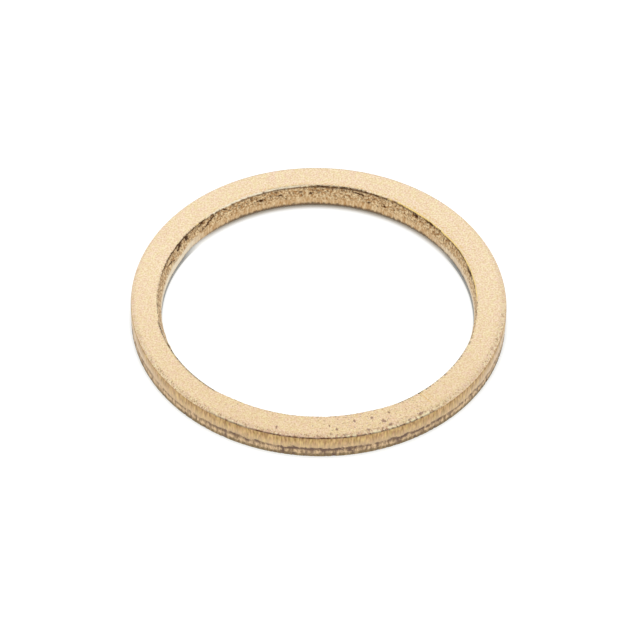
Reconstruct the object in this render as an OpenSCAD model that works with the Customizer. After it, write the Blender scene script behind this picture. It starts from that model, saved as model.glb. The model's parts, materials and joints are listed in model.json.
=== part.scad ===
// Flat sealing ring, cut from copper-alloy strip in one stroke of a press.
// Both punches struck the underside, which gave each wall the four zones of a sheared edge:
// a rolled edge where the tool pulled the metal in, a smooth straight land that it sheared,
// a rough band that leans away where the metal broke, and the sharp edge where it parted.
// Outside they run from the top down, and in the bore from the bottom up.
// Millimetres. The origin is the centre of the outside circle on the underside, +Z up.

/* [Ring] */
// Diameter of the bore at its sheared land, which slips over the thread of a plug
bore_d = 24.2; // [10:0.1:60]
// Width of the ring from the land of its bore to the land of its outside
ring_w = 2.32; // [1.5:0.01:6]
// Thickness of the strip
thickness = 2.1; // [1.6:0.05:3]
// How far the bore's centre lies from the outside's centre, left to right
bore_shift_x = -0.12; // [-0.3:0.01:0.3]
// How far the bore's centre lies from the outside's centre, front to back
bore_shift_y = 0.05; // [-0.3:0.01:0.3]

/* [Outside wall] */
// How far the rolled edge round the top reaches in over the face
outer_roll_w = 0.5; // [0.35:0.01:0.7]
// How far the rolled edge drops by the time it meets the wall
outer_roll_d = 0.23; // [0.05:0.01:0.35]
// Height of the sheared land below the rolled edge
outer_land_h = 0.95; // [0.3:0.05:1.3]
// How far the broken band leans in by the bottom
outer_lean = 0.03; // [0.01:0.01:0.2]

/* [Bore wall] */
// How far the rolled edge round the bottom reaches out over the underside
bore_roll_w = 0.5; // [0.5:0.01:0.7]
// How far the rolled edge rises by the time it meets the wall
bore_roll_d = 0.42; // [0.05:0.01:0.5]
// Height of the sheared land above the rolled edge
bore_land_h = 0.6; // [0.3:0.05:1]
// How far the broken band opens out by the top
bore_lean = 0.16; // [0.01:0.01:0.3]

/* [Hidden] */

// Facets that a preview gives a full turn of the ring, and the arcs of its section
turn_facets = 360;
arc_facets = 96;
// How far a cutting shape runs past the surface that it cuts
cut_past = 0.5;

bore_r = bore_d / 2;
outer_r = bore_r + ring_w;
// Heights at which each sheared land gives way to the broken band
outer_break_z = thickness - outer_roll_d - outer_land_h;
bore_break_z = bore_roll_d + bore_land_h;

// What a rolled edge takes off a square corner that stands at the origin, with the face above
// and the wall to the right. Its arc leaves the face smoothly, a width w in from the corner,
// and meets the wall at a crease, a depth d below it.
module roll_off(w, d) {
    arc_r = (w * w + d * d) / (2 * d);
    translate([-w, -arc_r]) difference() {
        square(arc_r + cut_past);
        circle(arc_r, $fn = arc_facets);
    }
}

// Half section of the disc that falls out of the strip, before it has a bore
module blank_section() {
    difference() {
        polygon([
            [0, 0],
            [outer_r - outer_lean, 0],
            [outer_r, outer_break_z],
            [outer_r, thickness],
            [0, thickness]
        ]);
        translate([outer_r, thickness]) roll_off(outer_roll_w, outer_roll_d);
    }
}

// Half section of what the bore takes out, past both faces of the ring
module bore_section() {
    polygon([
        [0, -cut_past],
        [bore_r, -cut_past],
        [bore_r, bore_break_z],
        [bore_r + bore_lean, thickness],
        [bore_r + bore_lean, thickness + cut_past],
        [0, thickness + cut_past]
    ]);
    translate([bore_r, 0]) rotate(180) roll_off(bore_roll_w, bore_roll_d);
}

module sealing_ring() {
    color("#E9D2B0")
    difference() {
        rotate_extrude($fn = turn_facets) blank_section();
        translate([bore_shift_x, bore_shift_y, 0])
            rotate_extrude($fn = turn_facets) bore_section();
    }
}

sealing_ring();
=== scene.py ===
"""Flat sealing ring of copper alloy, as a press leaves it and tumbling finishes it.

Each wall is a sheared edge: a rolled edge, a smooth land with upright drag marks, and a torn band
where the metal broke. Outside they run from the top down, and in the bore from the bottom up.
"""

import json
import math
from functools import partial

import bmesh
import bpy
from bpy.props import FloatProperty, FloatVectorProperty, IntProperty, PointerProperty
from mathutils import Matrix, Vector


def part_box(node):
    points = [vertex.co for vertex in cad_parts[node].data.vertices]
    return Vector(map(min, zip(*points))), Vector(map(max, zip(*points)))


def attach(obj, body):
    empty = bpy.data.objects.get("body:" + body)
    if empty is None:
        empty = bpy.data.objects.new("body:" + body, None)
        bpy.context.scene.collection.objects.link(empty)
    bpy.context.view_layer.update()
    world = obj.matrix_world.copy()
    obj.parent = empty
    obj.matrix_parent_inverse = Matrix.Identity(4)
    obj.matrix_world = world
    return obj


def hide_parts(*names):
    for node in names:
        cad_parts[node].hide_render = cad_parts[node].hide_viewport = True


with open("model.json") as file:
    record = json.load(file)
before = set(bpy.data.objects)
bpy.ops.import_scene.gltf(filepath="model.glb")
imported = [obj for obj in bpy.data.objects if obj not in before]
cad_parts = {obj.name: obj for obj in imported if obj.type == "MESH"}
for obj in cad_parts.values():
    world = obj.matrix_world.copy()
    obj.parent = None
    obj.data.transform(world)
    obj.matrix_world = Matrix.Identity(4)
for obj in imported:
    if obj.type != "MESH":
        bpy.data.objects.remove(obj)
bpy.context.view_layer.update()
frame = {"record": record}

bl_info = {
    "name": "Flat Sealing Ring",
    "version": (1, 0, 0),
    "blender": (4, 5, 0),
    "location": "3D View > Sidebar > Sealing Ring",
    "description": "Builds a punched copper-alloy sealing ring and the table it is photographed on",
    "category": "Add Mesh",
}

NODE = "sealing_ring"
MM = 0.001

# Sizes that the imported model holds
LOW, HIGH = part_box(NODE)
BORE = next(m for m in frame["record"]["mounts"] if m["name"] == "bore")
BORE_RADIUS = BORE["dims"]["r_mm"] * MM
BORE_LAND = BORE["dims"]["length_mm"] * MM
BORE_X, BORE_Y, BORE_LAND_Z = BORE["pos_m"]
OUTER_RADIUS = (HIGH.x - LOW.x) / 2
BORE_ROLL_DEPTH = BORE_LAND_Z - BORE_LAND / 2
HALF_WIDTH = (OUTER_RADIUS - BORE_RADIUS) / 2

# Steps in the arc of a sharp edge
EDGE_STEPS = 2
# How far into the metal a wall's shape is felt on the flat faces
WALL_REACH = 0.3 * MM
# How far the table top lies below the ring's underside, and how far it reaches each way
TABLE_DROP = 0.01 * MM
TABLE_REACH = 4.0
# What the table keeps of its light in the gap under the bore's rolled edge
GAP_LIGHT = 0.42
# Where the edge of the bore's land hangs over the table, outwards from the bore's radius
EDGE_AT_LEFT, EDGE_AT_RIGHT = -0.11 * MM, 0.02 * MM
# Where the softbox hangs
SOFTBOX_PLACE = (-0.07, 0.314, 0.383)
# The film width in mm that the lens is stated for, and the nearest and furthest that the camera sees
FILM_WIDTH = 36
NEAREST, FURTHEST = 0.01, 20
# How matt each surface is, from 0 to 1, and how deep the grain is that only the shading shows
LAND_ROUGHNESS, FACE_ROUGHNESS, TORN_ROUGHNESS = 0.4, 0.5, 0.6
GRAIN_DEPTH = 0.012 * MM
GRAIN_STRENGTH = 0.8

# Stretches of the ring that the press or wear marked, or that carry painted shade or highlights:
# angle of the middle from +X, and half the width
HEAVY_TEAR = (268.0, 32.0)
CREASE_LINE = (266.0, 29.0)
BURRS = (294.0, 15.0)
FAINT_BURRS = (243.0, 7.0)
SPECKLED_ROLL = ((258.0, 62.0), (343.0, 14.0))
UNDERCUTS = ((66.0, 56.0), (147.0, 20.0))
GOLDEN_LIP = (32.0, 30.0)
WHITE_LIP = (115.0, 21.0)
WORN_RIM = (74.0, 52.0)
PITTED_FACE = (290.0, 19.0)
SCRATCHES = (310.5, 2.6)
BROWN_LAND = (270.0, 58.0)
SHADED_FOOT = (76.0, 56.0)
PALE_LAND, PALER_LAND = (14.0, 24.0), (168.0, 26.0)
SIDES = ((184.0, 15.0), (357.0, 16.0))
OVERHANGS = ((172.0, 27.0), (8.0, 25.0))
# The share of its half width over which a stretch fades, on both sides of its end
FADE = 0.25

# Where the bore is not round: angle of the middle, half the width, and how far outwards it lies in mm
WIDE_TOP = ((90.0, 18.0, 0.05), (88.0, 36.0, 0.07), (46.0, 12.0, -0.06), (213.0, 22.0, 0.12),
            (322.0, 27.0, 0.12))
TIGHT_LAND = ((180.0, 30.0, -0.15), (85.0, 52.0, -0.04))

# Zones in mm: where each starts, is full, starts to fade and ends.
# The groove lies below the top face, slivers before the end of the outer roll, chips above the table
GROOVE = (0.02, 0.06, 0.13, 0.23)
SLIVER_ZONE = (-0.23, -0.17, -0.08, -0.03)
CHIPS = (0.25, 0.42, 0.56, 0.75)
# The scratches lie this far from the ring's axis, and the worn line from the bore's
SCRATCHED = (12.2, 12.6, 13.3, 13.9)
WORN = (12.45, 12.54, 12.6, 12.74)
# On the table, outwards from the bore's land, and from where that land overhangs it
GAP = (-0.25, 0.3, 0.6, 0.8)
UNDER_LAND = (-0.09, -0.02, 0.5, 0.9)
# The painted dark line of shade along the crease, in shares of the roll's depth
CREASE_ZONE = (0.42, 0.64, 0.8, 0.88)

# Single marks on the walls: angle from +X, height, half length along the wall and half height in mm,
# and rise per mm along it
BORE_MARKS = (
    (16.5, 1.80, 0.55, 0.10, 0.0),
    (26.8, 1.98, 0.40, 0.06, 0.0),
    (44.5, 1.90, 0.45, 0.08, 0.0),
    (52.0, 1.82, 0.20, 0.14, 0.0),
    (65.3, 1.35, 0.13, 0.07, 0.0),
    (71.3, 1.20, 0.10, 0.08, 0.0),
    (76.0, 1.76, 0.50, 0.06, 0.14),
    (93.3, 1.43, 0.15, 0.08, 0.0),
    (96.8, 1.56, 0.11, 0.06, 0.0),
    (102.4, 1.10, 0.10, 0.06, 0.0),
    (104.4, 1.43, 0.15, 0.07, 0.0),
    (112.3, 1.45, 0.34, 0.08, 0.0),
    (127.0, 1.88, 0.30, 0.06, 0.5),
    (134.4, 1.56, 0.80, 0.09, -0.42),
    (138.3, 1.84, 0.60, 0.08, -0.38),
    (147.0, 1.78, 0.26, 0.24, 0.3),
    (151.5, 1.80, 0.36, 0.16, -0.3),
    (160.0, 1.50, 0.50, 0.08, 0.3),
)
BAND_MARKS = (
    (264.0, 0.80, 1.20, 0.13, 0.0),
    (276.5, 0.80, 1.80, 0.13, 0.0),
    (283.0, 0.50, 1.30, 0.12, 0.0),
    (297.8, 0.75, 0.45, 0.22, 0.0),
    (303.7, 0.80, 0.45, 0.12, 0.0),
    (310.5, 0.72, 0.50, 0.15, 0.0),
    (321.0, 0.74, 1.00, 0.10, 0.0),
)

# Single marks on the face: angle from +X, radius, half length along the ring and half width across it in mm
FACE_MARKS = (
    (274.5, 14.02, 0.08, 0.12),
    (276.6, 13.60, 0.08, 0.16),
    (274.4, 13.20, 0.06, 0.14),
    (279.0, 14.18, 0.13, 0.08),
    (282.8, 12.92, 0.08, 0.15),
    (286.4, 14.02, 0.13, 0.12),
    (289.0, 12.95, 0.11, 0.13),
    (292.1, 13.52, 0.16, 0.17),
    (293.6, 14.02, 0.19, 0.14),
    (295.2, 12.85, 0.08, 0.12),
    (299.8, 14.16, 0.16, 0.08),
    (304.4, 14.06, 0.30, 0.10),
    (257.4, 13.75, 0.08, 0.15),
)

# How far from its middle a single mark is whole and where it ends, in its half sizes
WALL_OUTLINE = (0.7, 1.35)
FACE_OUTLINE = (0.5, 1.4)

# Patterns: what each is laid over, its size in mm, its detail, its roughness, and how many times
# closer it repeats upwards than along the wall.
# One pixel of the render is 0.08 mm. Tumbling dents a face about every 0.05 mm, and the tools drag
# marks about 0.03 mm apart, so dents are drawn two to three times and drag marks about five times
# as coarse as they are. All others have the size that the photo shows.
SHAPE_PATTERNS = {
    "outlines": ("plain", 0.16, 2.0, 0.5, 1.0),
    "upright_pits": ("plain", 0.22, 4.0, 0.5, 0.3),
    "pit_bunches": ("flat", 0.7, 1.0, 0.5, 1.0),
    "lying_pits": ("plain", 0.15, 3.0, 0.5, 1.3),
    "groove_gaps": ("flat", 0.5, 2.0, 0.5, 1.0),
    "lip_gaps": ("flat", 0.4, 3.0, 0.5, 1.0),
    "sliver_chain": ("flat", 0.26, 2.0, 0.5, 1.0),
    "break_waves": ("flat", 0.9, 3.0, 0.5, 1.0),
    "drag": ("plain", 0.18, 2.0, 0.5, 0.06),
}
COLOUR_PATTERNS = {
    "dents": ("here", 0.13, 2.0, 0.5, 1.0),
    "clouds": ("here", 0.24, 2.0, 0.5, 1.0),
    "wide_clouds": ("here", 0.7, 2.0, 0.5, 1.0),
    "flecks": ("here", 0.19, 3.0, 0.5, 1.0),
    "speckles": ("here", 0.14, 2.0, 0.5, 1.0),
    "granules": ("here", 0.17, 3.0, 0.6, 1.0),
    "scratches": ("round", 0.14, 1.0, 0.5, 1.0),
    "crease_gaps": ("round", 0.35, 2.0, 0.5, 1.0),
    "drag": ("here", 0.15, 3.0, 0.5, 0.25),
    "land_clouds": ("here", 0.2, 2.0, 0.5, 0.25),
    "small_land_clouds": ("here", 0.12, 2.0, 0.5, 0.25),
    "tears": ("here", 0.24, 4.0, 0.65, 0.4),
}

# Values that the shape hands to the material, stored on the points of the mesh
SECTION = "section"
TURN = "turn"
PAST_BREAK = "past_break"
OXIDE_AND_SHADE = "oxide"
LIP = "lip"
ROLL_SHARE = "roll_share"

# Where the node editor shows the nodes: how many in a row, and the steps across and down
ROW = 14
STEP_ACROSS, STEP_DOWN = 190, -280
# A ramp that starts and ends gently
SMOOTH = {"interpolation_type": "SMOOTHSTEP"}


def linear(hex_colour):
    """An sRGB hex colour as linear red, green, blue and alpha."""
    channels = [int(hex_colour[i:i + 2], 16) / 255 for i in (1, 3, 5)]
    return (*[c / 12.92 if c <= 0.04045 else ((c + 0.055) / 1.055) ** 2.4 for c in channels], 1.0)


def length(name, description, default):
    """A property that holds a length."""
    return FloatProperty(name=name, description=description, default=default, unit="LENGTH", precision=6)


def colour(name, description, hex_colour):
    """A property that holds a colour."""
    return FloatVectorProperty(
        name=name, description=description, default=linear(hex_colour), subtype="COLOR", size=4,
        min=0, max=1)


class RingSizes(bpy.types.PropertyGroup):
    """Sizes of the ring and of the marks that the press left on its walls."""

    bore_radius: length("Bore radius", "Radius of the bore at its land", BORE_RADIUS)
    ring_width: length("Ring width", "From the bore's land to the outside land", OUTER_RADIUS - BORE_RADIUS)
    thickness: length("Thickness", "Thickness of the strip", HIGH.z - LOW.z)
    bore_shift_x: length("Bore shift X", "How far right of the outside's centre the bore's lies", BORE_X)
    bore_shift_y: length("Bore shift Y", "How far behind the outside's centre the bore's lies", BORE_Y)
    outer_roll_width: length("Outer roll width", "How far the outer rolled edge reaches in", 0.5 * MM)
    outer_roll_depth: length("Outer roll depth", "How far the outer rolled edge drops", 0.23 * MM)
    outer_land: length("Outer land", "Height of the sheared land on the outside", 0.95 * MM)
    outer_lean: length("Outer lean", "How far the outer torn band leans in by the bottom", 0.03 * MM)
    bore_roll_width: length("Bore roll width", "How far the bore's rolled edge reaches out", 0.5 * MM)
    bore_roll_depth: length("Bore roll depth", "How far the bore's rolled edge rises", BORE_ROLL_DEPTH)
    bore_land: length("Bore land", "Height of the sheared land in the bore", BORE_LAND)
    bore_lean: length("Bore lean", "How far the bore's torn band opens out by the top", 0.16 * MM)
    edge_round: length("Edge round", "Radius that tumbling left on the sharp edges", 0.05 * MM)
    tear_depth: length("Tear depth", "Depth of the pits in the torn bands", 0.05 * MM)
    break_wander: length("Break wander", "How far the line of the break strays up and down", 0.7 * MM)
    drag_depth: length("Drag depth", "Depth of the upright marks in the lands", 0.008 * MM)
    undercut: length("Undercut", "How far the bore's wall is cut back under its top edge", 0.05 * MM)
    far_roll_share: FloatProperty(
        name="Far roll share", description="What is left of the outer rolled edge at the back", default=0.1,
        subtype="FACTOR", min=0, max=1)
    lip_height: length("Lip height", "Height of the burr round the top of the bore", 0.035 * MM)
    burr_height: length("Burr height", "How far slivers stand out of the outer rolled edge", 0.04 * MM)
    wall_step: length("Wall step", "Height of one row of faces on a wall", 0.067 * MM)
    face_step: length("Face step", "Mean width of one row of faces on the flat faces", 0.19 * MM)
    turn_steps: IntProperty(name="Turn steps", description="Faces in one full turn", default=1040)
    seed: IntProperty(name="Seed", description="Picks another run of tears, marks and burrs", default=3)


class RingColours(bpy.types.PropertyGroup):
    """Colours of the ring's surfaces."""

    face_light: colour("Face, light", "Tops of the tumbled face's grain", "#FBEFDA")
    face_dark: colour("Face, dark", "Hollows of the tumbled face's grain", "#E6CEAB")
    face_pink: colour("Face, pink", "Pink clouds on the face and the outer land", "#FFF8F8")
    face_yellow: colour("Face, yellow", "Yellow clouds on the face and the outer land", "#FFFFF1")
    # Darkens the face towards the front
    face_tarnish: colour("Face, tarnish", "What tarnish leaves of the light at the front", "#F8F4ED")
    face_fleck: colour("Face, flecks", "Marks that hold dirt on the face", "#967468")
    scratch: colour("Scratches", "Brassy scratches across the face", "#E2BC7C")
    # Painted shade on the outer rolled edge, deepest towards its crease
    roll_dull: colour("Roll, dull", "What the outer rolled edge leaves of the light", "#F4E6EE")
    # The thin dark line in the crease is painted shade
    crease: colour("Crease", "The thin dark line along the crease of the outer rolled edge", "#5E3E2C")
    land_light: colour("Land, light", "Bright streaks of the outer land", "#D8BC8E")
    land_dark: colour("Land, dark", "Drag marks in the outer land", "#9A7B56")
    land_grey: colour("Land, grey", "Greyer metal on the land just before the break", "#DDC8AE")
    band_light: colour("Band, light", "Bright chips of the outer torn band", "#E2C6A0")
    band_mid: colour("Band, middle", "Most of the outer torn band", "#8E7459")
    band_pit: colour("Band, pits", "Pits of the outer torn band", "#7E675A")
    # Painted shade on the lowest edge of the outer torn band
    foot: colour("Foot", "The lowest edge of the outer torn band", "#8F7D5C")
    bore_light: colour("Bore, light", "Bright grains of the bore", "#EED8B0")
    bore_mid: colour("Bore, middle", "Most of the bore", "#B18656")
    # The bore's land is drawn paler at the left and right
    bore_pale: colour("Bore, pale", "Rubbed metal on the bore's land at the left and right", "#EADFC8")
    # Also the groove under the bore's lip: partly oxide, partly painted shade
    bore_pit: colour("Bore, pits", "Pits and creases of the bore", "#4E2E18")
    # Painted shade where the bore meets the table
    bore_foot: colour("Bore foot", "Grime where the bore meets the table", "#604C38")
    # The bore's burr: partly fresh metal, partly a painted highlight
    lip_gold: colour("Lip, golden", "Fresh metal along the burr at the bore's top edge", "#FFE496")
    lip_white: colour("Lip, white", "The same burr where it has been rubbed bright", "#FFF8E4")
    # Painted glints on the slivers and specks of the outer rolled edge
    speck: colour("Roll, specks", "Bright specks and slivers on the outer rolled edge", "#FFF6CC")
    # Painted shade at the foot of both walls at the left and right
    grazed: colour("Foot, at the sides", "The foot of both walls at the left and right", "#746752")


class StageSettings(bpy.types.PropertyGroup):
    """The camera, the table and the light."""

    camera_elevation: FloatProperty(
        name="Camera elevation", description="How far the camera looks down on the ring",
        default=math.radians(46.1), subtype="ANGLE")
    camera_roll: FloatProperty(
        name="Camera roll", description="How far the camera is turned about its own axis",
        default=math.radians(1.17), subtype="ANGLE")
    camera_distance: length("Camera distance", "From the camera to the point that it looks at", 519.1 * MM)
    aim_x: length("Aim X", "Where the camera looks, left to right", -0.067 * MM)
    aim_y: length("Aim Y", "Where the camera looks, front to back", 0.171 * MM)
    lens: FloatProperty(name="Lens", description="Focal length in millimetres", default=382.2, unit="CAMERA")
    floor_colour: colour("Floor", "Pale table top", "#CFD3D3")
    gap_colour: colour("Gap", "Light off the metal, on the table under the bore's rolled edge", "#FFE4C0")
    floor_glow: FloatProperty(name="Floor glow", description="Lifts the table top to white", default=0.64)
    floor_reach: length("Floor reach", "How far off the ring's foot still darkens the table top", 0.35 * MM)
    sky: FloatProperty(name="Sky", description="Strength of the even light from all round", default=0.93)
    lamp_power: FloatProperty(name="Softbox power", description="In watts", default=0.12, unit="POWER")
    lamp_size: length("Softbox size", "Side of the softbox", 350 * MM)


def add_node(tree, kind, inputs=(), operation=None, out=0, **settings):
    """Adds a node, gives it its settings, fills its sockets with values or links, and returns an output.

    A kind that doesn't say Node is one of the shader nodes. Inputs are listed in the sockets' order,
    or by number or name. The other functions get this one as add, bound to the tree at hand.
    """
    node = tree.nodes.new(kind if "Node" in kind else "ShaderNode" + kind)
    node.location = (STEP_ACROSS * (len(tree.nodes) % ROW), STEP_DOWN * (len(tree.nodes) // ROW))
    if operation:
        node.operation = operation
    for name, value in settings.items():
        setattr(node, name, value)
    listed = inputs.items() if isinstance(inputs, dict) else enumerate(inputs)
    for key, value in listed:
        if isinstance(value, bpy.types.NodeSocket):
            tree.links.new(value, node.inputs[key])
        else:
            node.inputs[key].default_value = value
    return node.outputs[out] if node.outputs else None


def together(add, share, *others):
    """How far all of these shares hold at once: their product."""
    for other in others:
        share = add("Math", (share, other), "MULTIPLY")
    return share


def near(add, turn, place):
    """1 on the stretch of the ring that a place names, falling to 0 on both sides of it."""
    angle, reach = (math.radians(a) for a in place)
    middle = (math.cos(angle), math.sin(angle), 0)
    ahead = add("VectorMath", (turn, middle), "DOT_PRODUCT", out="Value")
    return add("MapRange", (ahead, math.cos(reach * (1 + FADE)), math.cos(reach * (1 - FADE))), **SMOOTH)


def near_either(add, turn, places):
    """1 on each of two stretches of the ring, falling to 0 between them."""
    return add("Math", [near(add, turn, place) for place in places], "MAXIMUM")


def within(add, value, zone, unit=MM):
    """0 up to where a zone starts, 1 where it is full, and 0 again from where it ends."""
    start, full, fade, end = (edge * unit for edge in zone)
    rise = add("MapRange", (value, start, full), **SMOOTH)
    return add("MapRange", (value, fade, end, rise, 0.0), **SMOOTH)


def add_patterns(add, at, patterns, more=(), **settings):
    """Adds the noises of a table, each at its size, to what is known of every point."""
    for name, (place, size_mm, detail, roughness, upwards) in patterns.items():
        where = add("VectorMath", (at[place], (1.0, 1.0, upwards)), "MULTIPLY")
        inputs = {"Vector": where, "Scale": 1 / (size_mm * MM), "Detail": detail, "Roughness": roughness}
        at[name] = add("TexNoise", inputs | dict(more), **settings)


def with_spot(add, spots, offsets, ragged, outline):
    """The single marks so far and one more: 1 inside it, and 0 past its ragged outline.

    The offsets are how far a point lies from its middle, counted in its half sizes.
    """
    distance = add("CombineXYZ", offsets)
    distance = add("VectorMath", (distance,), "LENGTH", out="Value")
    distance = add("Math", (distance, ragged), "ADD")
    spot = add("MapRange", (distance, *outline, 1.0, 0.0), **SMOOTH)
    return add("Math", (spots, spot), "MAXIMUM")


def wall_marks(add, at, places, wall_radius):
    """1 inside each of the single marks of a wall, and 0 round them."""
    spots = 0.0
    for angle, height, half_length, half_height, slope in places:
        angle = math.radians(angle)
        middle = (math.cos(angle), math.sin(angle), 0)
        tangent = (-math.sin(angle), math.cos(angle), 0)
        off = add("VectorMath", (at["turn"], middle), "SUBTRACT")
        off = add("VectorMath", {0: off, "Scale": wall_radius / (half_length * MM)}, "SCALE")
        along = add("VectorMath", (off, tangent), "DOT_PRODUCT", out="Value")
        away = add("VectorMath", (off,), "LENGTH", out="Value")
        above = add("Math", (at["up"], 1 / (half_height * MM), -height / half_height), "MULTIPLY_ADD")
        above = add("Math", (along, -slope * half_length / half_height, above), "MULTIPLY_ADD")
        spots = with_spot(add, spots, (away, above), at["ragged"], WALL_OUTLINE)
    return spots


def face_marks(add, here, ragged):
    """1 inside each of the single marks of the face, and 0 round them."""
    spots = 0.0
    for angle, radius, half_length, half_width in FACE_MARKS:
        angle = math.radians(angle)
        outwards = Vector((math.cos(angle), math.sin(angle), 0))
        tangent = Vector((-outwards.y, outwards.x, 0))
        off = add("VectorMath", (here, outwards * radius * MM), "SUBTRACT")
        across = add("VectorMath", (off, outwards / (half_width * MM)), "DOT_PRODUCT", out="Value")
        along = add("VectorMath", (off, tangent / (half_length * MM)), "DOT_PRODUCT", out="Value")
        spots = with_spot(add, spots, (across, along), ragged, FACE_OUTLINE)
    return spots


def rolled_off(add, inwards, width, depth):
    """How far a rolled edge takes the face back, at a distance inwards from its wall.

    Its arc leaves the face smoothly, a width in from the wall, and is back by the depth at the wall.
    """
    squares = add("Math", (depth, depth), "MULTIPLY")
    squares = add("Math", (width, width, squares), "MULTIPLY_ADD")
    radius = add("Math", (squares, depth), "DIVIDE")
    radius = add("Math", (radius, 0.5), "MULTIPLY")
    into = add("Math", (width, inwards), "SUBTRACT", use_clamp=True)
    into = add("Math", (into, radius), "DIVIDE")
    into = add("Math", (into, into), "MULTIPLY")
    left = add("Math", (1.0, into), "SUBTRACT", use_clamp=True)
    left = add("Math", (left,), "SQRT")
    left = add("Math", (1.0, left), "SUBTRACT")
    return add("Math", (radius, left), "MULTIPLY")


def section_curve(add, given):
    """A rectangle as wide and thick as the ring, with its corners just broken, cut into short steps.

    X runs from the bore to the outside, and Y runs down, as Curve to Mesh lays it.
    """
    where = add("GeometryNodeInputPosition")
    outline = add("GeometryNodeCurvePrimitiveQuadrilateral",
                  {"Width": given["ring_width"], "Height": given["thickness"]}, mode="RECTANGLE")
    outline = add("GeometryNodeFilletCurve",
                  {"Curve": outline, "Count": EDGE_STEPS, "Radius": given["edge_round"]}, mode="POLY")
    following = add("GeometryNodeOffsetPointInCurve", {"Offset": 1}, out=1)
    there = add("GeometryNodeFieldAtIndex", (where, following), data_type="FLOAT_VECTOR")
    stride = add("VectorMath", (there, where), "SUBTRACT")
    run = add("VectorMath", (stride,), "LENGTH", out="Value")
    stride = add("VectorMath", (stride,), "ABSOLUTE")
    sideways = add("SeparateXYZ", (stride,))
    upright = add("Math", (sideways.node.outputs[1], sideways), "GREATER_THAN")
    step = add("Mix", {0: upright, 2: given["face_step"], 3: given["wall_step"]})
    cuts = add("Math", (run, step), "DIVIDE")
    outline = add("GeometryNodeSubdivideCurve", {"Curve": outline, "Cuts": cuts})
    return add("GeometryNodeStoreNamedAttribute",
               {"Geometry": outline, "Name": SECTION, "Value": where}, data_type="FLOAT_VECTOR")


def section_fields(add, given):
    """Where each point of the swept section lies, in metres and shares, as the patterns need it."""
    at = {}
    at["turn"] = add("GeometryNodeInputNamedAttribute", {"Name": TURN}, data_type="FLOAT_VECTOR")
    section = add("GeometryNodeInputNamedAttribute", {"Name": SECTION}, data_type="FLOAT_VECTOR")
    across = add("SeparateXYZ", (section,))
    below = across.node.outputs[1]
    half_width = add("Math", (given["ring_width"], 0.5), "MULTIPLY")
    half_height = add("Math", (given["thickness"], 0.5), "MULTIPLY")
    at["outside"] = add("Math", (across, 0.0), "GREATER_THAN")
    at["inside"] = add("Math", (1.0, at["outside"]), "SUBTRACT")

    # Rows on the flat faces close up towards the walls: u becomes u (1.3 - 0.3 u²)
    share = add("Math", (across, half_width), "DIVIDE")
    squared = add("Math", (share, share), "MULTIPLY")
    spread = add("Math", (squared, -0.3, 1.3), "MULTIPLY_ADD")
    across = add("Math", (across, spread), "MULTIPLY")
    from_bore = add("Math", (half_width, across), "ADD")
    from_outside = add("Math", (half_width, across), "SUBTRACT")
    at["from_wall"] = add("Math", (from_bore, from_outside), "MINIMUM")
    at["bore_share"] = add("MapRange", (from_bore, 0.0, given["ring_width"], 1.0, 0.0))
    at["hold"] = add("MapRange", (at["from_wall"], 0.0, WALL_REACH, 1.0, 0.0), **SMOOTH)

    # The rolled edges squeeze the height, from the top outside and from the bottom in the bore.
    # The outer one fades from just in front of the middle to the back.
    backwards = add("SeparateXYZ", (at["turn"],), out="Y")
    left = add("MapRange", (backwards, -0.2, 1.0, 1.0, given["far_roll_share"]), **SMOOTH)
    outer_width = add("Math", (given["outer_roll_width"], left), "MULTIPLY")
    outer_depth = add("Math", (given["outer_roll_depth"], left), "MULTIPLY")
    drop = rolled_off(add, from_outside, outer_width, outer_depth)
    rise = rolled_off(add, from_bore, given["bore_roll_width"], given["bore_roll_depth"])
    top = add("Math", (given["thickness"], drop), "SUBTRACT")
    up = add("Math", (half_height, below), "SUBTRACT")
    up = add("MapRange", (up, 0.0, given["thickness"], rise, top), clamp=False)
    at["up"] = up
    at["down"] = add("Math", (given["thickness"], up), "SUBTRACT")

    # How far along its wall it lies, from the rolled edge to the sharp one
    run = add("Mix", {0: at["outside"], 2: up, 3: at["down"]})
    roll = add("Mix", {0: at["outside"], 2: given["bore_roll_depth"], 3: outer_depth})
    bore_break = add("Math", (given["bore_roll_depth"], given["bore_land"]), "ADD")
    outer_break = add("Math", (given["outer_roll_depth"], given["outer_land"]), "ADD")
    break_at = add("Mix", {0: at["outside"], 2: bore_break, 3: outer_break})
    at["past_roll"] = add("Math", (run, roll), "SUBTRACT")
    at["roll_share"] = add("Math", (at["down"], outer_depth), "DIVIDE")
    at["past_break"] = add("Math", (run, break_at), "SUBTRACT")
    at["torn_share"] = add("MapRange", (run, break_at, given["thickness"]))
    at["sound_share"] = add("MapRange", (run, roll, break_at))
    at["sound_again"] = add("Math", (1.0, at["torn_share"]), "SUBTRACT")

    # The plain place of the point, over which the patterns are laid
    at["radius"] = add("Math", (given["bore_radius"], from_bore), "ADD")
    at["flat"] = add("VectorMath", {0: at["turn"], "Scale": at["radius"]}, "SCALE")
    height = add("CombineXYZ", {2: up})
    at["plain"] = add("VectorMath", (at["flat"], height), "ADD")
    add_patterns(add, at, SHAPE_PATTERNS, {"W": given["seed"]}, noise_dimensions="4D")
    at["ragged"] = add("Math", (at["outlines"], 3.6, -1.8), "MULTIPLY_ADD")

    # The torn band starts at a frayed line
    fray = add("Math", (at["ragged"], 0.22 * MM, at["past_break"]), "MULTIPLY_ADD")
    in_band = add("MapRange", (fray, -0.04 * MM, 0.1 * MM), **SMOOTH)
    at["in_band"] = add("Math", (in_band, at["hold"]), "MULTIPLY")
    return at


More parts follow.
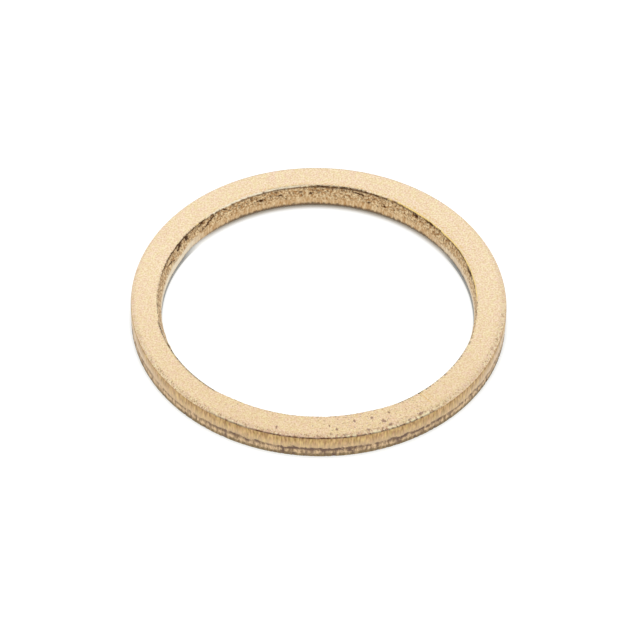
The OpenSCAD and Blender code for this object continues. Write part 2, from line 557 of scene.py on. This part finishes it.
def torn_pits(add, at):
    """1 in the pits and marks of the torn bands, and 0 on the metal between them."""
    # Outside the pits stand upright, thickest just past the break, and heavier on one stretch
    level = add("Math", (at["pit_bunches"], 0.3, at["upright_pits"]), "MULTIPLY_ADD")
    level = add("Math", (level, 0.15), "SUBTRACT")
    heavy = add("Math", (near(add, at["turn"], HEAVY_TEAR), 0.13, 0.01), "MULTIPLY_ADD")
    close = add("MapRange", (at["past_break"], 0.16 * MM, 0.4 * MM, heavy, 0.0))
    level = add("Math", (level, close), "ADD")
    likely = wall_marks(add, at, BAND_MARKS, OUTER_RADIUS)
    level = add("Math", (likely, 0.11, level), "MULTIPLY_ADD")
    band = add("MapRange", (level, 0.52, 0.72), **SMOOTH)

    # In the bore they lie along the wall, a little thicker towards the top
    high = add("MapRange", (at["down"], 0.0, 1.0 * MM, 0.08, 0.0))
    level = add("Math", (at["lying_pits"], high), "ADD")
    bore = add("MapRange", (level, 0.55, 0.7, 0.0, 0.8), **SMOOTH)
    bore = add("Math", (bore, wall_marks(add, at, BORE_MARKS, BORE_RADIUS)), "MAXIMUM")
    pits = add("Mix", {0: at["outside"], 2: bore, 3: band})
    return add("Math", (pits, at["in_band"]), "MULTIPLY")


def undercut_line(add, at):
    """1 in the groove just under the bore's top edge, where the press left one."""
    somewhere = near_either(add, at["turn"], UNDERCUTS)
    broken = add("MapRange", (at["groove_gaps"], 0.3, 0.6, 0.6, 1.0))
    return together(add, within(add, at["down"], GROOVE), somewhere, broken, at["inside"], at["hold"])


def bore_lip(add, at):
    """1 on the ragged burr along the bore's top edge, most of which stands on two stretches."""
    corner = add("CombineXYZ", (at["from_wall"], at["down"]))
    corner = add("VectorMath", (corner,), "LENGTH", out="Value")
    corner = add("MapRange", (corner, 0.06 * MM, 0.16 * MM, 1.0, 0.0), **SMOOTH)
    ragged = at["lip_gaps"]
    for place in (GOLDEN_LIP, WHITE_LIP):
        ragged = add("Math", (near(add, at["turn"], place), 0.28, ragged), "MULTIPLY_ADD")
    ragged = add("MapRange", (ragged, 0.58, 0.72), **SMOOTH)
    return together(add, corner, ragged, at["inside"])


def slivers(add, at):
    """1 on the slivers that stand along the crease of the outer rolled edge, on two stretches."""
    at_crease = within(add, at["past_roll"], SLIVER_ZONE)
    at_wall = add("MapRange", (at["from_wall"], 0.1 * MM, 0.2 * MM, 1.0, 0.0), **SMOOTH)
    chain = add("MapRange", (at["sliver_chain"], 0.44, 0.52), **SMOOTH)
    burred, faint = (near(add, at["turn"], place) for place in (BURRS, FAINT_BURRS))
    burred = add("Math", (faint, 0.65, burred), "MULTIPLY_ADD")
    return together(add, at_crease, at_wall, chain, burred, at["outside"])


def break_lift(add, given, at):
    """How far the line of the break, and the rows of faces with it, stray up or down."""
    wander = add("Math", (at["break_waves"], 0.5), "SUBTRACT")
    slack = together(add, at["sound_again"], at["sound_share"], at["hold"])
    return together(add, wander, given["break_wander"], slack)


def out_of_round(add, at):
    """How far the bore's wall strays outwards, at its top edge and at its land."""
    total = 0.0
    for places, share in ((WIDE_TOP, at["torn_share"]), (TIGHT_LAND, at["sound_again"])):
        for angle, reach, amount in places:
            here = together(add, near(add, at["turn"], (angle, reach)), share)
            total = add("Math", (here, amount * MM, total), "MULTIPLY_ADD")
    return add("Math", (total, at["inside"]), "MULTIPLY")


def drag_marks(add, given, at):
    """How deep the upright marks are that the tools dragged in the lands."""
    on_land = add("Math", (at["hold"], at["in_band"]), "SUBTRACT", use_clamp=True)
    on_land = add("Math", (on_land, at["sound_share"]), "MULTIPLY")
    return together(add, at["drag"], given["drag_depth"], on_land)


def ring_tree(sizes, material):
    """Geometry Nodes: the sheared section swept once round, with what the press did to its walls."""
    tree = bpy.data.node_groups.new("sheared ring", "GeometryNodeTree")
    tree.interface.new_socket(name="Ring", in_out="OUTPUT", socket_type="NodeSocketGeometry")
    names = list(RingSizes.__annotations__)
    for name in names:
        whole = isinstance(getattr(sizes, name), int)
        tree.interface.new_socket(
            name=sizes.bl_rna.properties[name].name, in_out="INPUT",
            socket_type="NodeSocketInt" if whole else "NodeSocketFloat")
    source = tree.nodes.new("NodeGroupInput")
    given = dict(zip(names, source.outputs))
    add = partial(add_node, tree)

    section = section_curve(add, given)
    where = add("GeometryNodeInputPosition")
    path = add("GeometryNodeCurvePrimitiveCircle",
               {"Resolution": given["turn_steps"], "Radius": 1.0}, mode="RADIUS")
    path = add("GeometryNodeStoreNamedAttribute",
               {"Geometry": path, "Name": TURN, "Value": where}, data_type="FLOAT_VECTOR")
    ring = add("GeometryNodeCurveToMesh", {"Curve": path, "Profile Curve": section})

    at = section_fields(add, given)
    pits = torn_pits(add, at)
    groove = undercut_line(add, at)
    lip = bore_lip(add, at)
    sliver = slivers(add, at)

    # How far each point sinks into its wall, and how far it is lifted
    lean = add("Mix", {0: at["outside"], 2: given["bore_lean"], 3: given["outer_lean"]})
    sink = add("Math", (at["torn_share"], lean), "MULTIPLY")
    sink = add("Math", (pits, given["tear_depth"], sink), "MULTIPLY_ADD")
    sink = add("Math", (groove, given["undercut"], sink), "MULTIPLY_ADD")
    sink = add("Math", (sink, drag_marks(add, given, at)), "ADD")
    sink = add("Math", (sink, out_of_round(add, at)), "ADD")
    sliver_out = add("Math", (sliver, given["burr_height"]), "MULTIPLY")
    sink = add("Math", (sink, sliver_out), "SUBTRACT")
    lift = add("Math", (lip, given["lip_height"], break_lift(add, given, at)), "MULTIPLY_ADD")
    lift = add("Math", (sliver_out, 0.6, lift), "MULTIPLY_ADD")

    # The finished place: metal lies outwards of the bore and inwards of the outside
    into = add("MapRange", {0: at["outside"], 3: 1.0, 4: -1.0})
    radius = add("Math", (together(add, sink, into, at["hold"]), at["radius"]), "ADD")
    flat = add("VectorMath", {0: at["turn"], "Scale": radius}, "SCALE")
    up = add("Math", (at["up"], lift), "ADD")
    height = add("CombineXYZ", {2: up})
    place = add("VectorMath", (flat, height), "ADD")
    shift = add("CombineXYZ", (given["bore_shift_x"], given["bore_shift_y"]))
    shift = add("VectorMath", {0: shift, "Scale": at["bore_share"]}, "SCALE")
    place = add("VectorMath", (place, shift), "ADD")

    # Dark marks: oxide in the pits, and in the groove under the lip partly oxide, partly painted shade
    dark = add("Math", (pits, groove), "MAXIMUM")
    # Bright marks: the burr's lip and the slivers, which the material paints as highlights
    bright = add("Math", (lip, sliver), "MAXIMUM")
    dark = add("Math", (dark, bright), "SUBTRACT", use_clamp=True)
    for name, value in ((PAST_BREAK, at["past_break"]), (OXIDE_AND_SHADE, dark), (LIP, bright),
                        (ROLL_SHARE, at["roll_share"])):
        ring = add("GeometryNodeStoreNamedAttribute", {"Geometry": ring, "Name": name, "Value": value},
                   data_type="FLOAT")
    ring = add("GeometryNodeSetPosition", {"Geometry": ring, "Position": place})
    ring = add("GeometryNodeSetShadeSmooth", {"Geometry": ring})
    ring = add("GeometryNodeRealizeInstances", {"Geometry": ring})
    ring = add("GeometryNodeSetMaterial", {"Geometry": ring, "Material": material})
    tree.links.new(ring, tree.nodes.new("NodeGroupOutput").inputs[0])
    return tree


def layered(add, surface, *layers):
    """A colour with others laid over it in turn, each by its share, mixed or in the way that it names."""
    for share, over, *way in layers:
        surface = add("Mix", {0: share, 6: surface, 7: over}, out=2, data_type="RGBA",
                      blend_type=way[0] if way else "MIX")
    return surface


def clouded(add, colours, surface, *clouds):
    """A surface with pink and yellow clouds over it, each pattern of them by its share."""
    for pattern, share in clouds:
        tint = add("MapRange", (pattern, 0.38, 0.62))
        tint = layered(add, colours.face_pink, (tint, colours.face_yellow))
        surface = layered(add, surface, (share, tint, "MULTIPLY"))
    return surface


def face_colour(add, colours, at):
    """The tumbled face: fine dents and faint clouds, duller and flecked at the front, worn by the bore."""
    face = layered(add, colours.face_dark, (at["grain"], colours.face_light))
    face = clouded(add, colours, face, (at["clouds"], 0.9), (at["wide_clouds"], 0.5))
    # The face grows darker towards the front, and more flecked there
    forward = add("SeparateXYZ", (at["turn"],), out="Y")
    darkening = add("MapRange", (forward, 0.2, -0.85))

    # Flecks, many of them on one stretch
    pitted = near(add, at["turn"], PITTED_FACE)
    flecks = add("Math", (pitted, 0.06, at["flecks"]), "MULTIPLY_ADD")
    flecks = add("MapRange", (flecks, 0.62, 0.76, 0.0, 0.7), **SMOOTH)
    flecks = add("Math", (flecks, darkening), "MULTIPLY")
    ragged = add("Math", (at["flecks"], 2.6, -1.3), "MULTIPLY_ADD")
    flecks = add("Math", (flecks, face_marks(add, at["here"], ragged)), "MAXIMUM")
    flecks = add("Math", (flecks, 0.85), "MULTIPLY")

    # Brassy scratches, and a worn line beside the bore
    flat = add("VectorMath", (at["here"], (1.0, 1.0, 0.0)), "MULTIPLY")
    radius = add("VectorMath", (flat,), "LENGTH", out="Value")
    lines = add("MapRange", (at["scratches"], 0.52, 0.62, 0.0, 0.6))
    scored = together(add, near(add, at["turn"], SCRATCHES), lines, within(add, radius, SCRATCHED))
    from_bore = add("VectorMath", (flat, (BORE_X, BORE_Y, 0)), "SUBTRACT")
    from_bore = add("VectorMath", (from_bore,), "LENGTH", out="Value")
    patchy = add("MapRange", (at["flecks"], 0.46, 0.62, 0.0, 0.7))
    worn = together(add, within(add, from_bore, WORN), patchy, near(add, at["turn"], WORN_RIM))
    scored = add("Math", (scored, worn), "MAXIMUM")
    return layered(add, face, (darkening, colours.face_tarnish, "MULTIPLY"), (flecks, colours.face_fleck),
                   (scored, colours.scratch))


def roll_colour(add, colours, at, face):
    """The outer rolled edge: painted shade towards its crease, with a thin dark line along it at the front.
    """
    # Painted shade: the roll darkens towards its crease, most on the front stretch
    at_line = near(add, at["turn"], CREASE_LINE)
    dull = add("MapRange", (at["roll_share"], 0.0, 0.5))
    dull = add("Math", (dull, add("MapRange", {0: at_line, 3: 0.3, 4: 1.0})), "MULTIPLY")

    # The roll of the front half is speckled with brown, and with painted glints near its crease
    brown = add("MapRange", (at["speckles"], 0.46, 0.34, 0.0, 0.65))
    glints = add("MapRange", (at["speckles"], 0.55, 0.64, 0.0, 0.75))
    on_roll = add("MapRange", (at["roll_share"], 0.02, 0.12))
    speckled = together(add, near_either(add, at["turn"], SPECKLED_ROLL), on_roll)
    brown = together(add, brown, speckled)
    glints = together(add, glints, speckled, add("MapRange", (at["roll_share"], 0.08, 0.35)))

    # The thin dark line is painted shade, in the crease at the front and under the slivers
    lined = add("Math", (at_line, near(add, at["turn"], BURRS)), "MAXIMUM")
    broken = add("MapRange", (at["crease_gaps"], 0.35, 0.6, 0.55, 1.0))
    line = together(add, within(add, at["roll_share"], CREASE_ZONE, unit=1), lined, broken)
    return layered(add, face, (dull, colours.roll_dull, "MULTIPLY"), (brown, colours.land_dark),
                   (glints, colours.speck), (line, colours.crease))


def land_colour(add, colours, at):
    """The outer sheared land: upright drag marks, greyer towards the break and most so off the front."""
    lower = add("MapRange", (at["past_break"], -0.9 * MM, -0.3 * MM, -0.1, 0.08))
    streaks = add("Math", (at["drag_marks"], lower), "ADD", use_clamp=True)
    land = layered(add, colours.land_dark, (streaks, colours.land_light))
    land = clouded(add, colours, land, (at["land_clouds"], 1.0), (at["small_land_clouds"], 1.0))
    most = add("MapRange", {0: near(add, at["turn"], BROWN_LAND), 3: 0.9, 4: 0.45})
    grey = add("MapRange", (at["past_break"], -0.7 * MM, -0.05 * MM, 0.0, most))
    grey = add("Math", (grey, add("MapRange", {0: at["drag_marks"], 3: 1.0, 4: 0.5})), "MULTIPLY")
    return layered(add, land, (grey, colours.land_grey))


def band_colour(add, colours, at):
    """The outer torn band: brown metal with pale chips halfway down, and an olive foot of painted shade."""
    # The foot is painted shade, taller and darker at the left and right
    foot_top = add("MapRange", {0: at["sides"], 3: 0.4 * MM, 4: 0.5 * MM})
    foot_full = add("Math", (foot_top, 0.2 * MM), "SUBTRACT")
    foot = add("MapRange", (at["high"], foot_top, foot_full), **SMOOTH)
    most = add("MapRange", (at["tears"], 0.42, 0.6, 0.9, 0.55))
    foot = add("Math", (foot, most), "MULTIPLY")
    foot_colour = layered(add, colours.foot, (at["sides"], colours.grazed))
    return layered(add, colours.band_mid, (at["chips"], colours.band_light), (foot, foot_colour))


def bore_colour(add, colours, at):
    """The bore: golden grains, and upright marks on its land, which is pale at the left and right."""
    bore = layered(add, colours.bore_mid, (at["bore_grains"], colours.bore_light))
    pale, paler = (near(add, at["turn"], place) for place in (PALE_LAND, PALER_LAND))
    pale = add("Math", (pale, 0.6, paler), "MULTIPLY_ADD", use_clamp=True)
    low = add("MapRange", (at["frayed"], 0.25 * MM, -0.1 * MM, 0.0, 0.75))
    pale = add("Math", (pale, low), "MULTIPLY")
    return layered(add, bore, (pale, colours.bore_pale))


def foot_shade(add, colours, at):
    """How thick the painted shade is at the bore's foot, thicker at the back and both sides, and its colour.
    """
    at_back = near(add, at["turn"], SHADED_FOOT)
    top = add("MapRange", {0: at_back, 3: 0.5 * MM, 4: 0.64 * MM})
    top = add("Math", (at["sides"], 0.08 * MM, top), "MULTIPLY_ADD")
    full = add("Math", (top, 0.17 * MM), "SUBTRACT")
    uneven = add("Math", (at["fray"], 0.7 * MM, at["high"]), "MULTIPLY_ADD")
    share = add("MapRange", (uneven, top, full))
    by_bore = add("MapRange", (at["across"], -HALF_WIDTH + 0.3 * MM, -HALF_WIDTH + 0.6 * MM, 1.0, 0.0))
    most = add("Math", (at_back, at["sides"]), "MAXIMUM")
    most = add("MapRange", {0: most, 3: 0.5, 4: 0.85})
    # The colour of the painted shade, greyer at the left and right
    dirt = layered(add, colours.bore_foot, (at["sides"], colours.grazed))
    return together(add, share, by_bore, most), dirt


def surface_fields(add):
    """What the ring's material knows of every point: its place, the shape's values and the patterns."""
    at = {"here": add("TexCoord", out="Object")}
    at["turn"] = add("Attribute", out="Vector", attribute_name=TURN)
    for name in (PAST_BREAK, OXIDE_AND_SHADE, LIP, ROLL_SHARE):
        at[name] = add("Attribute", out="Fac", attribute_name=name)
    section = add("Attribute", out="Vector", attribute_name=SECTION)
    at["across"] = add("SeparateXYZ", (section,))
    at["high"] = add("SeparateXYZ", (at["here"],), out="Z")
    at["outside"] = add("Math", (at["across"], 0.0), "GREATER_THAN")
    at["round"] = add("VectorMath", {0: at["turn"], "Scale": OUTER_RADIUS}, "SCALE")
    add_patterns(add, at, COLOUR_PATTERNS)
    at["sides"] = near_either(add, at["turn"], SIDES)

    # The wall starts at the sharp edge or at the crease of the outer roll, and not on the underside
    off_middle = add("Math", (at["across"],), "ABSOLUTE")
    wall = add("MapRange", (off_middle, HALF_WIDTH - 0.04 * MM, HALF_WIDTH - 0.005 * MM))
    past_crease = add("MapRange", (at["roll_share"], 0.78, 0.84))
    by_outside = add("MapRange", (at["across"], HALF_WIDTH - 0.36 * MM, HALF_WIDTH - 0.3 * MM))
    off_table = add("MapRange", (at["high"], 0.01 * MM, 0.04 * MM))
    below_crease = together(add, by_outside, off_table, past_crease)
    at["wall"] = add("Math", (wall, below_crease), "MAXIMUM")
    at["rolled"] = add("Math", (at["outside"], off_table), "MULTIPLY")

    # Grains, marks and chips, and how far past the frayed line of the break a point lies
    at["grain"] = add("MapRange", (at["dents"], 0.34, 0.66))
    at["drag_marks"] = add("MapRange", (at["drag"], 0.32, 0.68))
    chips = add("Math", (within(add, at["high"], CHIPS), 0.09, at["tears"]), "MULTIPLY_ADD")
    at["chips"] = add("MapRange", (chips, 0.42, 0.66))
    at["fray"] = add("Math", (at["tears"], 0.5), "SUBTRACT")
    at["frayed"] = add("Math", (at["fray"], 0.5 * MM, at["past_break"]), "MULTIPLY_ADD")
    at["broken"] = add("MapRange", (at["frayed"], -0.04 * MM, 0.04 * MM))
    dragged = add("MapRange", {0: at["drag_marks"], 3: 0.02, 4: 0.74})
    granules = add("MapRange", (at["granules"], 0.38, 0.62))
    torn = add("MapRange", (at["frayed"], -0.12 * MM, 0.12 * MM))
    at["bore_grains"] = add("Mix", {0: torn, 2: dragged, 3: granules})
    return at


def alloy_material(colours):
    """Copper alloy strip, sheared and then tumbled.

    To the eye: a pale, matt face with a fine even grain, darker and glossier lands with upright
    marks, and brown, dull torn bands with dark pits and a bright lip.
    """
    material = bpy.data.materials.new("copper_alloy_sheared_and_tumbled")
    material.use_nodes = True
    tree = material.node_tree
    tree.nodes.clear()
    add = partial(add_node, tree)
    at = surface_fields(add)
    outside, wall, broken = at["outside"], at["wall"], at["broken"]
    face = face_colour(add, colours, at)
    face = layered(add, face, (at["rolled"], roll_colour(add, colours, at, face)))
    outer = layered(add, land_colour(add, colours, at), (broken, band_colour(add, colours, at)))
    walls = layered(add, bore_colour(add, colours, at), (outside, outer))
    pit = layered(add, colours.bore_pit, (outside, colours.band_pit))
    # The burr's lip is painted bright as a highlight, whiter on one stretch, and the slivers as glints
    lit = near(add, at["turn"], WHITE_LIP)
    lip = layered(add, colours.lip_gold, (lit, colours.lip_white), (outside, colours.speck))
    finished = layered(add, face, (wall, walls), (at["oxide"], pit), (at["lip"], lip),
                       foot_shade(add, colours, at))

    dull = add("Mix", {0: broken, 2: LAND_ROUGHNESS, 3: TORN_ROUGHNESS})
    dull = add("Mix", {0: wall, 2: FACE_ROUGHNESS, 3: dull})
    relief = add("Mix", {0: broken, 2: at["drag_marks"], 3: at["chips"]})
    relief = add("Mix", {0: outside, 2: at["bore_grains"], 3: relief})
    relief = add("Mix", {0: wall, 2: at["grain"], 3: relief})
    bump = add("Bump", {"Height": relief, "Strength": GRAIN_STRENGTH, "Distance": GRAIN_DEPTH})
    surface = add("BsdfPrincipled",
                  {"Base Color": finished, "Metallic": 1.0, "Roughness": dull, "Normal": bump})
    add("OutputMaterial", {"Surface": surface})
    return material


class AddSealingRing(bpy.types.Operator):
    """Builds the sealing ring with its sheared walls, as one closed mesh"""

    bl_idname = "mesh.sealing_ring_add"
    bl_label = "Add Sealing Ring"

    def execute(self, context):
        sizes = context.scene.ring_sizes
        tree = ring_tree(sizes, alloy_material(context.scene.ring_colours))
        blank = bpy.data.objects.new("blank", bpy.data.meshes.new("blank"))
        context.scene.collection.objects.link(blank)
        modifier = blank.modifiers.new("sheared ring", "NODES")
        modifier.node_group = tree
        sockets = [socket for socket in tree.interface.items_tree if socket.in_out == "INPUT"]
        for socket, name in zip(sockets, RingSizes.__annotations__):
            modifier[socket.identifier] = getattr(sizes, name)
        done = blank.evaluated_get(context.evaluated_depsgraph_get())
        mesh = bpy.data.meshes.new_from_object(done)
        bpy.data.objects.remove(blank)
        if not mesh.polygons:
            raise RuntimeError("the ring came out empty")
        mesh.name = "punched_ring"
        ring = bpy.data.objects.new("punched_ring", mesh)
        context.scene.collection.objects.link(ring)
        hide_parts(NODE)
        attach(ring, "root")
        return {"FINISHED"}


def floor_material(stage):
    """Pale matt table top.

    To the eye: white all over, and it still takes the ring's soft shadow.
    """
    material = bpy.data.materials.new("matt_table_top")
    material.use_nodes = True
    tree = material.node_tree
    tree.nodes.clear()
    add = partial(add_node, tree)
    matt = add("BsdfDiffuse", {"Color": stage.floor_colour})
    ray = add("LightPath", out="Is Camera Ray")
    seen = add("Math", (ray, ray.node.outputs["Is Glossy Ray"]), "ADD")
    seen = add("Math", (seen, ray.node.outputs["Is Transmission Ray"]), "ADD", use_clamp=True)
    open_sky = add("AmbientOcclusion", {"Distance": stage.floor_reach}, out="AO")
    open_sky = add("Math", (open_sky,), "SQRT")

    # Less light reaches the gap under the bore's rolled edge, and it comes off the metal
    from_bore = add("TexCoord", out="Object")
    from_bore = add("VectorMath", (from_bore, (BORE_X, BORE_Y, -TABLE_DROP)), "SUBTRACT")
    turn = add("VectorMath", (from_bore,), "NORMALIZE")
    from_land = add("VectorMath", (from_bore,), "LENGTH", out="Value")
    from_land = add("Math", (from_land, BORE_RADIUS), "SUBTRACT")
    in_gap = together(add, within(add, from_land, GAP), near(add, turn, SHADED_FOOT))
    lost = add("MapRange", {0: in_gap, 3: 1.0, 4: GAP_LIGHT})

    # The land overhangs the table at the left and right, further at the left: painted shadow lies under it
    edge = add("SeparateXYZ", (turn,), out="X")
    edge = add("MapRange", (edge, -1.0, 1.0, EDGE_AT_LEFT, EDGE_AT_RIGHT))
    under_land = add("Math", (from_land, edge), "SUBTRACT")
    under_land = together(add, within(add, under_land, UNDER_LAND), near_either(add, turn, OVERHANGS))
    open_table = add("Math", (1.0, under_land), "SUBTRACT")

    strength = together(add, seen, stage.floor_glow, open_sky, open_table, lost)
    warmth = layered(add, (1.0, 1.0, 1.0, 1.0), (in_gap, stage.gap_colour))
    glow = add("Emission", {"Color": warmth, "Strength": strength})
    both = add("AddShader", (matt, glow))
    add("OutputMaterial", {"Surface": both})
    return material


def flat_object(name, corners, material):
    """A flat piece of the stage through these corners."""
    mesh = bpy.data.meshes.new(name)
    shape = bmesh.new()
    shape.faces.new([shape.verts.new(corner) for corner in corners])
    shape.to_mesh(mesh)
    shape.free()
    mesh.materials.append(material)
    made = bpy.data.objects.new(name, mesh)
    bpy.context.scene.collection.objects.link(made)


class SetRingStage(bpy.types.Operator):
    """Lays the table top, hangs the lights and sets up the camera"""

    bl_idname = "scene.ring_stage_set"
    bl_label = "Set Stage"

    def execute(self, context):
        scene = context.scene
        stage = scene.ring_stage
        corners = [(x * TABLE_REACH, y * TABLE_REACH, -TABLE_DROP)
                   for x, y in ((-1, -1), (1, -1), (1, 1), (-1, 1))]
        flat_object("table_top", corners, floor_material(stage))

        world = bpy.data.worlds.new("even white light")
        world.use_nodes = True
        world.node_tree.nodes.clear()
        sky = add_node(world.node_tree, "Background", {"Color": (1, 1, 1, 1), "Strength": stage.sky})
        add_node(world.node_tree, "OutputWorld", {"Surface": sky})
        scene.world = world

        softbox = bpy.data.lights.new("softbox", "AREA")
        softbox.size = stage.lamp_size
        softbox.energy = stage.lamp_power
        lamp = bpy.data.objects.new("softbox", softbox)
        lamp.location = SOFTBOX_PLACE
        lamp.rotation_euler = lamp.location.to_track_quat("Z", "Y").to_euler()
        scene.collection.objects.link(lamp)

        elevation = stage.camera_elevation
        back = Vector((0, -math.cos(elevation), math.sin(elevation)))
        right = Vector((1, 0, 0))
        up = back.cross(right)
        spin = Matrix.Rotation(-stage.camera_roll, 3, -back)
        right, up = spin @ right, spin @ up
        aim = Vector((stage.aim_x, stage.aim_y, 0))
        camera = bpy.data.objects.new("camera", bpy.data.cameras.new("camera"))
        camera.data.lens = stage.lens
        camera.data.sensor_width = FILM_WIDTH
        camera.data.clip_start = NEAREST
        camera.data.clip_end = FURTHEST
        turned = Matrix((right, up, back)).transposed().to_4x4()
        camera.matrix_world = Matrix.Translation(aim + back * stage.camera_distance) @ turned
        scene.collection.objects.link(camera)
        scene.camera = camera
        scene.view_settings.view_transform = "Standard"
        return {"FINISHED"}


class RingPanel(bpy.types.Panel):
    """Lists the sizes, the colours and the two steps"""

    bl_idname = "VIEW3D_PT_sealing_ring"
    bl_label = "Sealing Ring"
    bl_space_type = "VIEW_3D"
    bl_region_type = "UI"
    bl_category = "Sealing Ring"

    def draw(self, context):
        for group in (context.scene.ring_sizes, context.scene.ring_colours, context.scene.ring_stage):
            box = self.layout.box()
            for name in type(group).__annotations__:
                box.prop(group, name)
        self.layout.operator(AddSealingRing.bl_idname)
        self.layout.operator(SetRingStage.bl_idname)


CLASSES = (RingSizes, RingColours, StageSettings, AddSealingRing, SetRingStage, RingPanel)


def register():
    for each in CLASSES:
        bpy.utils.register_class(each)
    bpy.types.Scene.ring_sizes = PointerProperty(type=RingSizes)
    bpy.types.Scene.ring_colours = PointerProperty(type=RingColours)
    bpy.types.Scene.ring_stage = PointerProperty(type=StageSettings)


def unregister():
    del bpy.types.Scene.ring_stage
    del bpy.types.Scene.ring_colours
    del bpy.types.Scene.ring_sizes
    for each in reversed(CLASSES):
        bpy.utils.unregister_class(each)


def main():
    register()
    bpy.ops.mesh.sealing_ring_add()
    bpy.ops.scene.ring_stage_set()


if __name__ == "__main__":
    main()
